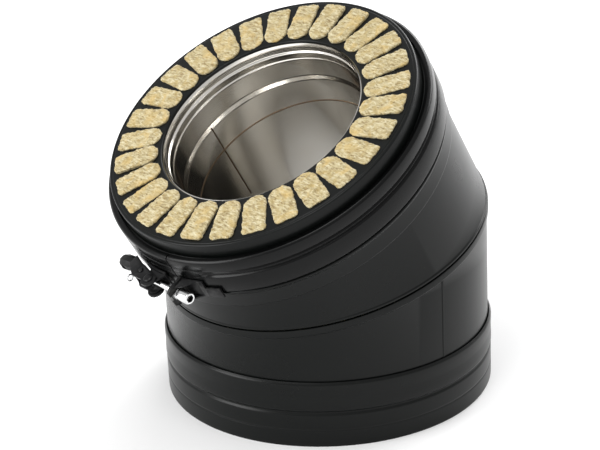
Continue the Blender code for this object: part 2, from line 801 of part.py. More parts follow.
def make_rod(swing, place):
    """Trunnion in the lever, threaded rod through it, washer and barrel nut at the rod's far end."""
    turn = add_empty("rod_swing_axis", swing, (*place, 0))
    reach = LEVER_OUTSIDE + 0.7 * MM
    shoulder = LEVER_INSIDE - GAP
    profile = [
        (JOURNAL_RADIUS, -reach),
        (JOURNAL_RADIUS, -shoulder),
        (TRUNNION_RADIUS, -shoulder),
        (TRUNNION_RADIUS, shoulder),
        (JOURNAL_RADIUS, shoulder),
        (JOURNAL_RADIUS, reach),
    ]
    trunnion = solid_of_turn("rod_trunnion", profile, turn, BLACK_HARDWARE)
    thread = cylinder(
        "trunnion_thread", ROD_RADIUS + GAP, -10 * MM, 10 * MM, turn, None, axis="Y"
    )
    cut(trunnion, thread)
    washer_y = WASHER_Y - TRUNNION_Y
    nut_y = NUT_Y - TRUNNION_Y
    rod_end = nut_y + NUT_LENGTH - HEX_DEPTH - MM
    cylinder("tie_rod", ROD_RADIUS, -TRUNNION_RADIUS - MM, rod_end, turn, ZINC, axis="Y")
    washer = cylinder(
        "nut_washer", NUT_RADIUS, washer_y, washer_y + WASHER_THICKNESS, turn, ZINC, axis="Y"
    )
    bore = cylinder("nut_bore", ROD_RADIUS + GAP, 0, 90 * MM, turn, None, axis="Y")
    cut(washer, bore)
    nut = cylinder(
        "barrel_nut", NUT_RADIUS, nut_y, nut_y + NUT_LENGTH, turn, ZINC, axis="Y", sides=24
    )
    cut(nut, bore)
    socket = cylinder(
        "nut_socket", HEX_RADIUS, nut_y + NUT_LENGTH - HEX_DEPTH, nut_y + NUT_LENGTH + MM,
        turn, None, axis="Y", sides=6,
    )
    cut(nut, socket)


def stand_on_floor(root):
    """Moves the whole elbow so that the middle of its underside is the origin."""
    bpy.context.view_layer.update()
    graph = bpy.context.evaluated_depsgraph_get()
    low = [math.inf] * 3
    high = [-math.inf] * 3
    for item in PARTS.objects:
        if item.type == "EMPTY":
            continue
        shaped = item.evaluated_get(graph)
        mesh = shaped.to_mesh()
        for vertex in mesh.vertices:
            place = shaped.matrix_world @ vertex.co
            low = [min(a, b) for a, b in zip(low, place)]
            high = [max(a, b) for a, b in zip(high, place)]
        shaped.to_mesh_clear()
    root.location = (-(low[0] + high[0]) / 2, -(low[1] + high[1]) / 2, -low[2])
    bpy.context.view_layer.update()


ROOT = add_empty("elbow_origin")
UPPER_AXIS = add_empty("upper_leg_axis", ROOT, (0, 0, LOWER_LEG), (0, -BEND, 0))
CLOSURE = add_empty("band_closure", UPPER_AXIS, (0, 0, ROD_HEIGHT), (0, 0, CLOSURE_ANGLE))
make_lower_leg(ROOT)
make_upper_leg(UPPER_AXIS)
make_band(CLOSURE)
make_lever_bracket(CLOSURE)
make_catch_bracket(CLOSURE)
make_lever(CLOSURE)
stand_on_floor(ROOT)
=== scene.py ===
# %% [markdown]
# # A twin-wall flue elbow, 30 degrees
# The elbow joins two lengths of insulated flue. It is a steel liner inside a black
# enamelled casing, with mineral wool between them, cut and joined on a slanting plane.
# A band with an over-centre lever clamps the next length to its upper end.
#
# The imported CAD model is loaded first, as a fixed frame. Each of its pieces is then
# either given a finish, or stood in for by a finer piece of the same size and place.

# %% Load the frame
import json
import math

import bmesh
import bpy
from mathutils import Matrix, Vector, noise


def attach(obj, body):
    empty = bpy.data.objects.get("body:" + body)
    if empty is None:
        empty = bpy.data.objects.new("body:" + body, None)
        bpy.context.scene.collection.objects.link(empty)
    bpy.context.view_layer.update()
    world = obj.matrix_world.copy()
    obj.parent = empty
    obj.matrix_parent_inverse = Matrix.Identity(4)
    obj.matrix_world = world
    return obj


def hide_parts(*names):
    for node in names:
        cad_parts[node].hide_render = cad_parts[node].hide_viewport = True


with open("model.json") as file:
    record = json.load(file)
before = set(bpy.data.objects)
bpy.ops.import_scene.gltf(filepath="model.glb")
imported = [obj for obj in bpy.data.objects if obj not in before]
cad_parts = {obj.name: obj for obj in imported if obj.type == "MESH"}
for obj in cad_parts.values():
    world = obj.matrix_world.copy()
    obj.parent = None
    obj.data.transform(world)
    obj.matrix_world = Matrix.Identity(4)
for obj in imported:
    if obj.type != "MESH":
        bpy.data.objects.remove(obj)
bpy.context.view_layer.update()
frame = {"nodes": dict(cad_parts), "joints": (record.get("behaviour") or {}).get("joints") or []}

# %% [markdown]
# ## Places
# Everything is in metres. The band turns about the upper leg, so the joint that it turns
# on gives the middle of the mitre and the direction of the upper leg. Three sets of axes
# follow: one for each leg, with Z along it, and one for the lever closure, with X pointing
# out from the band and Y running along it.

# %% Axes of the two legs and of the closure
MM = 0.001
SIDES = 192  # flats round every large turned piece
QUARTER_TURN = math.pi / 2
SAME_PLACE = 0.005 * MM  # points nearer than this are merged
band_turn = next(j for j in frame["joints"] if j["name"] == "band_turn")
MITRE = Vector(band_turn["pos_m"])
UP = Vector(band_turn["axis"]).normalized()
BEND = math.acos(UP.z)
SLOPE = math.tan(BEND / 2)  # of the mitre, seen from either leg

LOWER = Matrix.Translation((MITRE.x, MITRE.y, 0))
UPPER = Matrix.Translation(MITRE) @ Matrix.Rotation(-BEND, 4, "Y")
LEG = MITRE.z  # floor to the middle of the mitre
PLATE_TOP = LEG  # middle of the mitre to the face of the upper end plate
ROD_HEIGHT = PLATE_TOP - 36.6 * MM
CLOSURE_ANGLE = math.radians(176)
CLOSURE = UPPER @ Matrix.Translation((0, 0, ROD_HEIGHT)) @ Matrix.Rotation(CLOSURE_ANGLE, 4, "Z")

CASING = 125 * MM
WALL = 0.8 * MM
GAP = 0.3 * MM
LINER = 75 * MM
LINER_WALL = 0.6 * MM
RIM = 122.5 * MM
PLATE_BORE = LINER + LINER_WALL + 4 * MM
BAND_EDGE = CASING + GAP + WALL + 0.9 * MM + WALL
BAND_RIB = BAND_EDGE + 1.5 * MM
BAND_OUTSIDE = BAND_EDGE + 1.8 * MM
ROD_X = BAND_OUTSIDE + 7.0 * MM
PIVOT = Vector((ROD_X + 3 * MM, -3 * MM, 0))
print("Bend", round(math.degrees(BEND), 2), "degrees, legs of", round(LEG / MM, 1), "mm")

# %% [markdown]
# ## Working by hand, in code
# An operator acts on whatever is selected, so each piece starts with nothing selected.
# Most of the elbow is turned: one outline is drawn by extruding a single point, and spun
# about Z. Corners of the outline are rounded first, because sheet metal never folds to a
# sharp edge, and it is that small round edge that catches the light.

# %% Helpers for modelling


def start_clean():
    """Nothing selected, in object mode."""
    if bpy.context.object and bpy.context.object.mode != "OBJECT":
        bpy.ops.object.mode_set(mode="OBJECT")
    bpy.ops.object.select_all(action="DESELECT")


def only(item):
    """Make one object the selected and active one."""
    start_clean()
    item.select_set(True)
    bpy.context.view_layer.objects.active = item
    return item


def pick(test, kind="VERT"):
    """In edit mode, select the vertices, edges or faces whose middle passes the test."""
    bpy.ops.mesh.select_mode(type=kind)
    bpy.ops.mesh.select_all(action="DESELECT")
    shape = bmesh.from_edit_mesh(bpy.context.edit_object.data)
    found = {"VERT": shape.verts, "EDGE": shape.edges, "FACE": shape.faces}[kind]
    for element in found:
        if kind == "VERT":
            chosen = test(element.co)
        elif kind == "EDGE":
            chosen = all(test(v.co) for v in element.verts)
        else:
            chosen = test(element)
        if chosen:
            element.select_set(True)
    shape.select_flush_mode()
    bmesh.update_edit_mesh(bpy.context.edit_object.data)


def rounded(points, radius, steps=3):
    """Swap each corner of an outline for a small curve."""
    smooth = [points[0]]
    for before, corner, after in zip(points, points[1:], points[2:]):
        corner = Vector(corner)
        ends = []
        for other in (before, after):
            leg = Vector(other) - corner
            ends.append(corner + leg * min(radius / leg.length, 0.48))
        for step in range(steps + 1):
            t = step / steps
            place = ends[0] * (1 - t) ** 2 + corner * 2 * t * (1 - t) + ends[1] * t**2
            smooth.append((place.x, place.y))
    smooth.append(points[-1])
    return smooth


def draw(name, points):
    """Draw an outline in the XZ plane: one point, extruded from place to place."""
    start_clean()
    bpy.ops.mesh.primitive_plane_add(size=MM)
    item = bpy.context.object
    item.name = name
    bpy.ops.object.mode_set(mode="EDIT")
    bpy.ops.mesh.select_mode(type="VERT")
    bpy.ops.mesh.merge(type="CENTER")
    bpy.ops.transform.translate(value=(points[0][0], 0, points[0][1]))
    for (x, z), (next_x, next_z) in zip(points, points[1:]):
        move = {"value": (next_x - x, 0, next_z - z)}
        bpy.ops.mesh.extrude_region_move(TRANSFORM_OT_translate=move)
    return item


def spin(sides=SIDES):
    """Spin the outline about Z, close the seam and turn the faces outwards."""
    bpy.ops.mesh.select_all(action="SELECT")
    bpy.ops.mesh.spin(steps=sides, angle=2 * math.pi, center=(0, 0, 0), axis=(0, 0, 1))
    bpy.ops.mesh.select_all(action="SELECT")
    bpy.ops.mesh.remove_doubles(threshold=SAME_PLACE)
    bpy.ops.mesh.normals_make_consistent(inside=False)


def face_outwards(item, inwards=False):
    """Point an open shell's faces away from the axis, or towards it for a bore."""
    shape = bmesh.new()
    shape.from_mesh(item.data)
    total = sum(
        face.calc_area() * face.normal.dot(Vector((*face.calc_center_median().xy, 0)))
        for face in shape.faces
    )
    shape.free()
    if (total < 0) != inwards:
        item.data.flip_normals()


def modify(item, kind, **settings):
    """Add a modifier, set it, and apply it."""
    only(item)
    change = item.modifiers.new(kind.lower(), kind)
    for key, value in settings.items():
        setattr(change, key, value)
    bpy.ops.object.modifier_apply(modifier=change.name)
    return item


def trim(plane_co, plane_no):
    """In edit mode, cut everything on the far side of a plane away."""
    bpy.ops.mesh.select_all(action="SELECT")
    bpy.ops.mesh.bisect(plane_co=plane_co, plane_no=plane_no, clear_outer=True)


def settle(item, place, angle=35):
    """Shade a piece smooth, and put its place into its mesh."""
    only(item)
    item.data.transform(place)
    bpy.ops.object.shade_smooth_by_angle(angle=math.radians(angle))
    return item


def finish(item, material, body, slot, *nodes):
    """Give a piece its finish, its body and the CAD nodes that it stands for."""
    item.data.materials.clear()
    item.data.materials.append(material)
    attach(item, body)
    if nodes:
        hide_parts(*nodes)
    print(f"{item.name}: {len(item.data.polygons)} faces")
    return item


# %% [markdown]
# ## Finishes
# Handling marks, dust and worn edges are on more than one finish, so each is a node group
# with its own inputs, placed in every material that needs it.

# %% Helpers for materials


def new_group(name, inputs, outputs):
    """A shader node group with named sockets; returns it with its two end nodes."""
    tree = bpy.data.node_groups.new(name, "ShaderNodeTree")
    for label, kind, value in inputs:
        socket = tree.interface.new_socket(name=label, in_out="INPUT", socket_type=kind)
        socket.default_value = value
    for label, kind in outputs:
        tree.interface.new_socket(name=label, in_out="OUTPUT", socket_type=kind)
    return tree, tree.nodes.new("NodeGroupInput"), tree.nodes.new("NodeGroupOutput")


def add(tree, kind, links=None, **settings):
    """Add a node, set its properties and plain inputs, and link what is given as sockets."""
    node = tree.nodes.new(kind)
    for key, value in settings.items():
        setattr(node, key, value)
    for key, value in (links or {}).items():
        if isinstance(value, bpy.types.NodeSocket):
            tree.links.new(value, node.inputs[key])
        else:
            node.inputs[key].default_value = value
    return node


def ramp(tree, source, stops):
    """A colour ramp from (position, grey or colour) stops."""
    node = add(tree, "ShaderNodeValToRGB", {"Fac": source})
    while len(node.color_ramp.elements) < len(stops):
        node.color_ramp.elements.new(0.5)
    for element, (position, value) in zip(node.color_ramp.elements, stops):
        element.position = position
        element.color = (*value, 1) if isinstance(value, tuple) else (value, value, value, 1)
    return node.outputs["Color"]


def mix(tree, factor, low, high):
    """Blend two colours."""
    node = add(tree, "ShaderNodeMix", data_type="RGBA")
    for index, value in ((0, factor), (6, low), (7, high)):
        if isinstance(value, bpy.types.NodeSocket):
            tree.links.new(value, node.inputs[index])
        else:
            node.inputs[index].default_value = value if index == 0 else (*value, 1)
    return node.outputs[2]


def clouded(tree, place, scale, detail, distortion=0.0):
    """Noise at a place: its grey value."""
    values = {"Vector": place, "Scale": scale, "Detail": detail, "Distortion": distortion}
    return add(tree, "ShaderNodeTexNoise", values).outputs["Fac"]


def times(tree, first, second):
    """One value times another."""
    return add(tree, "ShaderNodeMath", {0: first, 1: second}, operation="MULTIPLY").outputs[0]


def bumped(tree, shader, height, strength, distance):
    """Raise the surface by a height map."""
    bump = add(tree, "ShaderNodeBump", {"Height": height, "Strength": strength, "Distance": distance})
    tree.links.new(bump.outputs["Normal"], shader.inputs["Normal"])


def new_material(name, **constants):
    """A Principled material with its constants set on the shader itself."""
    made = bpy.data.materials.new(name)
    made.use_nodes = True
    shader = made.node_tree.nodes["Principled BSDF"]
    for key, value in constants.items():
        socket = shader.inputs[key.replace("_", " ")]
        socket.default_value = value
    return made, made.node_tree, shader


# %% [markdown]
# ### Shared effects
# Each group reads the piece's own coordinates, and gives one mask or value: flecks of dust,
# the wander of roughness that handling leaves, and the wear of sharp edges.

# %% Shared groups


def build_speckle():
    """Dust and tiny chips: a mask of scattered small flecks."""
    tree, start, end = new_group(
        "Dust flecks",
        [("Scale", "NodeSocketFloat", 300.0), ("Amount", "NodeSocketFloat", 0.5)],
        [("Mask", "NodeSocketFloat")],
    )
    place = add(tree, "ShaderNodeTexCoord").outputs["Object"]
    flecks = ramp(tree, clouded(tree, place, start.outputs["Scale"], 2.0), [(0.66, 0.0), (0.74, 1.0)])
    areas = ramp(tree, clouded(tree, place, 14.0, 2.0), [(0.42, 0.0), (0.62, 1.0)])
    both = times(tree, flecks, areas)
    tree.links.new(times(tree, both, start.outputs["Amount"]), end.inputs["Mask"])
    return tree


def build_smudge():
    """Broad, soft unevenness, as of handling and of a coating's thickness."""
    tree, start, end = new_group(
        "Handling marks",
        [
            ("Low", "NodeSocketFloat", 0.3),
            ("High", "NodeSocketFloat", 0.5),
            ("Scale", "NodeSocketFloat", 12.0),
        ],
        [("Value", "NodeSocketFloat")],
    )
    place = add(tree, "ShaderNodeTexCoord").outputs["Object"]
    wave = clouded(tree, place, start.outputs["Scale"], 5.0, 0.6)
    spread = add(
        tree,
        "ShaderNodeMapRange",
        {
            "Value": wave,
            "From Min": 0.3,
            "From Max": 0.7,
            "To Min": start.outputs["Low"],
            "To Max": start.outputs["High"],
        },
    )
    tree.links.new(spread.outputs[0], end.inputs["Value"])
    return tree


def build_wear():
    """Worn edges: where the surface is pointed, broken up by noise."""
    tree, start, end = new_group(
        "Worn edges",
        [("Amount", "NodeSocketFloat", 0.5)],
        [("Mask", "NodeSocketFloat")],
    )
    place = add(tree, "ShaderNodeTexCoord").outputs["Object"]
    pointed = add(tree, "ShaderNodeNewGeometry").outputs["Pointiness"]
    edge = ramp(tree, pointed, [(0.53, 0.0), (0.58, 1.0)])
    patchy = ramp(tree, clouded(tree, place, 180.0, 4.0), [(0.45, 0.0), (0.62, 1.0)])
    both = times(tree, edge, patchy)
    tree.links.new(times(tree, both, start.outputs["Amount"]), end.inputs["Mask"])
    return tree


DUST = build_speckle()
SMUDGE = build_smudge()
WEAR = build_wear()
print("Shared effects:", ", ".join(group.name for group in (DUST, SMUDGE, WEAR)))


def place_group(tree, group, **values):
    """Add a shared group to a material, with its own values."""
    node = add(tree, "ShaderNodeGroup", node_tree=group)
    for key, value in values.items():
        node.inputs[key].default_value = value
    return node


# %% [markdown]
# ### Black enamel
# The casing is coated with a satin black enamel, very slightly green. A fine orange-peel
# bump breaks up the reflections, roughness wanders a
# little where hands have been, and a few pale flecks of dust lie on it.

# %% Black enamel


def black_coat(name, colour, low, high, peel, dust, wear=0.3):
    """A coat whose roughness wanders from low to high, with peel, dust and wear amounts."""
    made, tree, shader = new_material(name, Roughness=high, Specular_IOR_Level=0.18)
    place = add(tree, "ShaderNodeTexCoord").outputs["Object"]
    flecks = place_group(tree, DUST, Scale=520.0, Amount=dust).outputs["Mask"]
    worn = place_group(tree, WEAR, Amount=wear).outputs["Mask"]
    tint = mix(tree, flecks, colour, (0.16, 0.16, 0.145))
    tint = mix(tree, worn, tint, (0.09, 0.09, 0.085))
    tree.links.new(tint, shader.inputs["Base Color"])
    marks = place_group(tree, SMUDGE, Low=low, High=high, Scale=9.0).outputs["Value"]
    tree.links.new(marks, shader.inputs["Roughness"])
    bumped(tree, shader, clouded(tree, place, 900.0, 3.0), peel, 0.05 * MM)
    return made


ENAMEL = black_coat("black_enamel", (0.0035, 0.0042, 0.0039), 0.26, 0.32, 0.2, 0.04, 0.0)
HARDWARE = black_coat("black_hardware", (0.0075, 0.0075, 0.008), 0.22, 0.36, 0.5, 0.3)
# Painted highlight: the weld's enamel has a lighter base colour than the casing's, for the light that its
# raised bead catches; its rougher finish is its own.
SEAM_PAINTED_HIGHLIGHT = black_coat("enamelled_weld_painted_highlight", (0.012, 0.013, 0.0125), 0.5, 0.6, 0.6, 0.0, 0.0)
# Painted shade: the band's enamel is a darker copy of the casing's, for the shade in its grooves.
BAND_COAT_PAINTED_SHADE = black_coat("band_enamel_painted_shade", (0.0016, 0.0018, 0.0018), 0.22, 0.28, 0.2, 0.03, 0.0)
GRIP = black_coat("grip_moulding", (0.010, 0.010, 0.010), 0.36, 0.46, 0.8, 0.2)
COATS = (ENAMEL, HARDWARE, SEAM_PAINTED_HIGHLIGHT, BAND_COAT_PAINTED_SHADE, GRIP)
print("Coats:", ", ".join(coat.name for coat in COATS))

# %% [markdown]
# ### Stainless steel and bright zinc
# The liner is bright cold-rolled stainless sheet. Its rolling lines run round the bore, so
# the noise is stretched along the leg's own directions. Soft patches of the metal are tinted
# a warmer straw. The rod and nut are plated a bluer, brighter zinc.

# %% Steel and zinc


def steel(name, colour, low, high, brushed, tint_amount):
    """Bare or plated metal, with roughness from low to high, fine lines and a warm tint."""
    made, tree, shader = new_material(name, Metallic=1.0)
    place = add(tree, "ShaderNodeTexCoord").outputs["Object"]
    marks = place_group(tree, SMUDGE, Low=low, High=high, Scale=16.0).outputs["Value"]
    tree.links.new(marks, shader.inputs["Roughness"])
    stretched = add(tree, "ShaderNodeMapping", {"Vector": place, "Scale": (60.0, 60.0, 2600.0)})
    bumped(tree, shader, clouded(tree, stretched.outputs[0], 1.0, 2.0), brushed, 0.02 * MM)
    warm = place_group(tree, SMUDGE, Low=0.0, High=tint_amount, Scale=22.0).outputs["Value"]
    tint = mix(tree, warm, colour, (colour[0] * 0.82, colour[1] * 0.72, colour[2] * 0.58))
    tree.links.new(tint, shader.inputs["Base Color"])
    return made


STAINLESS = steel("stainless", (0.80, 0.785, 0.75), 0.10, 0.17, 0.2, 0.2)
WELD = steel("weld_bead", (0.13, 0.095, 0.065), 0.30, 0.45, 0.6, 0.6)
ZINC = steel("bright_zinc", (0.78, 0.79, 0.80), 0.12, 0.24, 0.1, 0.1)
print("Metals:", ", ".join(metal.name for metal in (STAINLESS, WELD, ZINC)))

# %% [markdown]
# ### Mineral wool
# The wool is spun rock fibre, cream with tan where the binder has browned. Stretched noise
# in two directions gives the lie of the fibres, and a coarser noise gives the browner tufts.

# %% Mineral wool


def mineral_wool(name):
    """Matt fibres, tan in clumps."""
    made, tree, shader = new_material(
        name, Roughness=0.95, Specular_IOR_Level=0.2, Sheen_Weight=0.25, Sheen_Roughness=0.5
    )
    place = add(tree, "ShaderNodeTexCoord").outputs["Object"]
    heights = []
    for turn, scale in ((0.4, (900.0, 160.0, 500.0)), (1.9, (800.0, 200.0, 600.0))):
        settings = {"Vector": place, "Rotation": (0.0, 0.0, turn), "Scale": scale}
        lie = add(tree, "ShaderNodeMapping", settings).outputs[0]
        heights.append(clouded(tree, lie, 1.0, 4.0, 0.8))
    both = times(tree, *heights)
    # The fibre heights also set the colour: cream where they stand high and darker where they are low. This
    # is partly the fibres' own colour and partly painted shade in the hollows between them.
    base = ramp(
        tree,
        both,
        [(0.15, (0.24, 0.175, 0.075)), (0.25, (0.47, 0.395, 0.22)), (0.40, (0.63, 0.575, 0.39))],
    )
    tan = ramp(tree, clouded(tree, place, 75.0, 4.0, 1.0), [(0.52, 0.0), (0.70, 0.7)])
    colour = mix(tree, tan, base, (0.55, 0.39, 0.14))
    dips = ramp(tree, clouded(tree, place, 210.0, 3.0), [(0.36, 0.6), (0.5, 0.0)])
    colour = mix(tree, dips, colour, (0.40, 0.30, 0.12))
    tree.links.new(colour, shader.inputs["Base Color"])
    bumped(tree, shader, both, 0.9, 0.5 * MM)
    return made


WOOL = mineral_wool("mineral_wool")
print("Wool:", WOOL.name)

# %% [markdown]
# ## The lower leg
# The collar at the foot is a swaged sleeve: a skirt that slides over the next length, a
# stop groove above it, and a raised band pressed out to stiffen it. It is turned from its
# outer outline, and Solidify gives the sheet its thickness inwards.

# %% Lower collar


def turned_shell(name, points, place, wall=WALL, radius=0.9 * MM, bore=False):
    """Spin an outline, and give it a wall behind its visible face."""
    item = draw(name, rounded(points, radius))
    spin()
    only(item)
    face_outwards(item, inwards=bore)
    modify(item, "SOLIDIFY", thickness=wall, offset=-1, use_even_offset=True)
    return settle(item, place)


NECK = CASING + GAP + WALL
collar = turned_shell(
    "foot_collar",
    [
        (NECK, 52.0 * MM),
        (NECK + 1.4 * MM, 50.2 * MM),
        (NECK + 1.4 * MM, 46.0 * MM),
        (NECK + 1.1 * MM, 40.0 * MM),
        (NECK + 1.4 * MM, 34.0 * MM),
        (NECK + 1.4 * MM, 29.6 * MM),
        (NECK, 28.2 * MM),
        (NECK, 26.9 * MM),
        (NECK + 1.1 * MM, 25.4 * MM),
        (NECK + 1.1 * MM, 14.2 * MM),
        (NECK + 0.7 * MM, 13.2 * MM),
        (NECK + 1.1 * MM, 12.2 * MM),
        (NECK + 1.1 * MM, 0.9 * MM),
        (NECK + 0.7 * MM, 0.0),
    ],
    LOWER,
)
finish(collar, ENAMEL, "elbow", "black_enamel", "lower_collar")

# %% [markdown]
# The lower casing is a plain tube cut on the mitre plane. Its cut end is swaged out into a
# lip that the upper casing is seamed to. The tube is bisected first, and the open edge is
# then extruded a little at a time, each step moved up and widened.

# %% Lower casing


def mitred_shell(name, low, high, side, lip, place):
    """A tube from low to high, cut on the mitre; lip lists (widening, distance from the mitre).

    side is 1 where the tube ends at the mitre above it, and -1 where it starts there."""
    item = draw(name, [(CASING, low), (CASING, (low + high) / 2), (CASING, high)])
    spin()
    slope = side * SLOPE
    level = (LEG if side > 0 else 0) - side * lip[0][1]
    normal = Vector((-slope, 0, 1)).normalized() * side
    trim((0, 0, level), normal)
    pick(lambda co: abs(co.z - slope * co.x - level) < 0.01 * MM)
    for (wide, down), (next_wide, next_down) in zip(lip, lip[1:]):
        grow = (CASING + next_wide) / (CASING + wide)
        bpy.ops.mesh.extrude_region_move(
            TRANSFORM_OT_translate={"value": (0, 0, side * (down - next_down))}
        )
        bpy.ops.transform.resize(value=(grow, grow, 1), center_override=(0, 0, 0))
    bpy.ops.mesh.select_all(action="SELECT")
    bpy.ops.mesh.normals_make_consistent(inside=False)
    only(item)
    face_outwards(item)
    modify(item, "SOLIDIFY", thickness=WALL, offset=-1, use_even_offset=True)
    return settle(item, place)


LOWER_LIP = [
    (0, 7.2), (0.2, 6.8), (0.9, 6.2), (1.15, 5.8), (1.2, 5.3),
    (1.2, 1.6), (1.1, 1.0), (0.5, 0.8), (-1.8, 0.7),
]
UPPER_LIP = [
    (0, 3.2), (0.1, 2.9), (0.6, 2.3), (0.8, 1.8), (0.8, 0.9), (0.6, 0.4), (0.2, 0.2), (-1.8, 0.15),
]
lower_casing = mitred_shell(
    "lower_tube", 40.3 * MM, 175 * MM, 1, [(w * MM, h * MM) for w, h in LOWER_LIP], LOWER
)
finish(lower_casing, ENAMEL, "elbow", "black_enamel", "lower_casing")
upper_casing = mitred_shell(
    "upper_tube", -60 * MM, 72.4 * MM, -1, [(w * MM, h * MM) for w, h in UPPER_LIP], UPPER
)
finish(upper_casing, ENAMEL, "elbow", "black_enamel", "upper_casing")

# %% [markdown]
# ## The upper collar
# It carries the groove that the locking band sits in, a bead below the groove, and the rim
# that the band's upper edge closes on.

# %% Upper collar
top = PLATE_TOP
collar = turned_shell(
    "head_collar",
    [
        (NECK, top - 12.6 * MM),
        (NECK, top - 44.4 * MM),
        (NECK + 1.6 * MM, top - 45.2 * MM),
        (NECK + 1.6 * MM, top - 46.6 * MM),
        (NECK + 0.3 * MM, top - 48.2 * MM),
        (NECK + 0.3 * MM, top - 61.0 * MM),
        (NECK, top - 61.6 * MM),
    ],
    UPPER,
    radius=0.7 * MM,
)
finish(collar, ENAMEL, "elbow", "black_enamel", "upper_collar")

# %% [markdown]
# ## The end plates
# The upper plate is a pressed ring with a turned-down rim and hem. Its 29 slots are cut by
# one Boolean: a slot-shaped block is modelled once, from a plane whose corners are bevelled,
# and copied round the ring.

# %% Slot cutters
SLOTS = 29
SLOT_PHASE = math.radians(7.5)
SLOT_WIDTH = 17.9 * MM
SLOT_FROM = PLATE_BORE + 2.4 * MM
SLOT_TO = RIM - 5.7 * MM
SLOT_MIDDLE = (SLOT_FROM + SLOT_TO) / 2
print(SLOTS, "slots,", round((SLOT_TO - SLOT_FROM) / MM, 1), "mm long")


def slot_block(name, low, high, shrink=0.0):
    """A block of a slot's outline along +X: round at its inner end, with small outer corners."""
    start_clean()
    bpy.ops.mesh.primitive_plane_add(size=1, location=(SLOT_MIDDLE, 0, low))
    item = bpy.context.object
    item.name = name
    item.scale = (SLOT_TO - SLOT_FROM - 2 * shrink, SLOT_WIDTH - 2 * shrink, 1)
    bpy.ops.object.transform_apply(location=True, rotation=True, scale=True)
    bpy.ops.object.mode_set(mode="EDIT")
    pick(lambda co: co.x < SLOT_MIDDLE)
    bpy.ops.mesh.bevel(offset=SLOT_WIDTH / 2 - shrink - 0.2 * MM, segments=8, affect="VERTICES")
    pick(lambda co: co.x > SLOT_TO - shrink - 0.1 * MM)
    bpy.ops.mesh.bevel(offset=3 * MM - shrink, segments=4, affect="VERTICES")
    bpy.ops.mesh.select_all(action="SELECT")
    bpy.ops.mesh.extrude_region_move(TRANSFORM_OT_translate={"value": (0, 0, high - low)})
    bpy.ops.mesh.select_all(action="SELECT")
    bpy.ops.mesh.normals_make_consistent(inside=False)
    return only(item)


def ring_of(item):
    """Copies of a piece turned about Z, each with its own mesh, the first one included."""
    item.data.transform(Matrix.Rotation(SLOT_PHASE, 4, "Z"))
    copies = [item]
    for index in range(1, SLOTS):
        only(item)
        bpy.ops.object.duplicate()
        copy = bpy.context.object
        copy.data.transform(Matrix.Rotation(2 * math.pi * index / SLOTS, 4, "Z"))
        copies.append(copy)
    return copies


def join_all(items):
    """Join pieces into one object."""
    only(items[0])
    for item in items:
        item.select_set(True)
    bpy.ops.object.join()
    return bpy.context.object


def slotted_plate(name, outline, low, high, place):
    """A turned sheet ring with slots cut through it."""
    plate = draw(name, rounded(outline, 0.8 * MM))
    spin()
    only(plate)
    modify(plate, "SOLIDIFY", thickness=1.0 * MM, offset=0, use_even_offset=True)
    cutter = join_all(ring_of(slot_block("slot_cutter", low, high)))
    modify(plate, "BOOLEAN", object=cutter, operation="DIFFERENCE", solver="EXACT")
    bpy.data.objects.remove(cutter)
    return settle(plate, place)


# %% Upper end plate
plate = slotted_plate(
    "slotted_plate",
    [
        (PLATE_BORE + 0.5 * MM, top - 3.5 * MM),
        (PLATE_BORE + 0.5 * MM, top - 0.5 * MM),
        (RIM - 3.0 * MM, top - 0.5 * MM),
        (RIM - 2.5 * MM, top - 1.1 * MM),
        (RIM - 2.0 * MM, top - 0.5 * MM),
        (RIM - 0.5 * MM, top - 0.7 * MM),
        (RIM - 0.5 * MM, top - 13.4 * MM),
        (CASING - 0.7 * MM, top - 13.9 * MM),
    ],
    top - 4 * MM,
    top + 4 * MM,
    UPPER,
)
finish(plate, ENAMEL, "elbow", "black_enamel", "upper_end_plate")

# %% [markdown]
# The lower plate is the same ring, without a rim outside: its edge turns up inside the
# casing. The wool behind it is the CAD piece itself, with the wool finish.

# %% Lower end plate
LOW = 31 * MM
INSIDE = CASING - WALL - GAP
plate = slotted_plate(
    "foot_plate",
    [
        (LINER + LINER_WALL + GAP + 0.5 * MM, LOW + 3.5 * MM),
        (LINER + LINER_WALL + GAP + 0.5 * MM, LOW + 0.5 * MM),
        (INSIDE - 0.5 * MM, LOW + 0.5 * MM),
        (INSIDE - 0.5 * MM, LOW + 10 * MM),
    ],
    LOW - 3 * MM,
    LOW + 3 * MM,
    LOWER,
)
finish(plate, ENAMEL, "elbow", "black_enamel", "lower_end_plate")
frame["nodes"]["lower_insulation"].data.materials.clear()
frame["nodes"]["lower_insulation"].data.materials.append(WOOL)

# %% [markdown]
# ## The mineral wool
# Wool bulges out of every slot, each tuft a little different. One tuft is shaped from the
# slot's own block, domed, and remeshed to an even skin. It is copied round the ring, and
# each copy is pushed about by noise that depends on where it stands, so no two are alike.

# %% Wool behind the plate
core = draw(
    "wool_core",
    [
        (LINER + 4.2 * MM, -30 * MM),
        (LINER + 4.2 * MM, top - 2.6 * MM),
        (RIM - 1.6 * MM, top - 2.6 * MM),
        (RIM - 1.6 * MM, -40 * MM),
    ],
)
spin(sides=64)
trim((0, 0, 0.2 * MM), -Vector((SLOPE, 0, 1)))
bpy.ops.mesh.select_all(action="DESELECT")
bpy.ops.mesh.select_mode(type="EDGE")
bpy.ops.mesh.select_non_manifold()
bpy.ops.mesh.bridge_edge_loops()
bpy.ops.mesh.select_all(action="SELECT")
bpy.ops.mesh.normals_make_consistent(inside=False)
finish(settle(core, UPPER), WOOL, "elbow", "wool", "upper_insulation")

# %% Tufts in the slots


def clouds(name, size, depth=2):
    """A cloud texture for displacing a skin."""
    texture = bpy.data.textures.new(name, "CLOUDS")
    texture.noise_scale = size
    texture.noise_depth = depth
    return texture


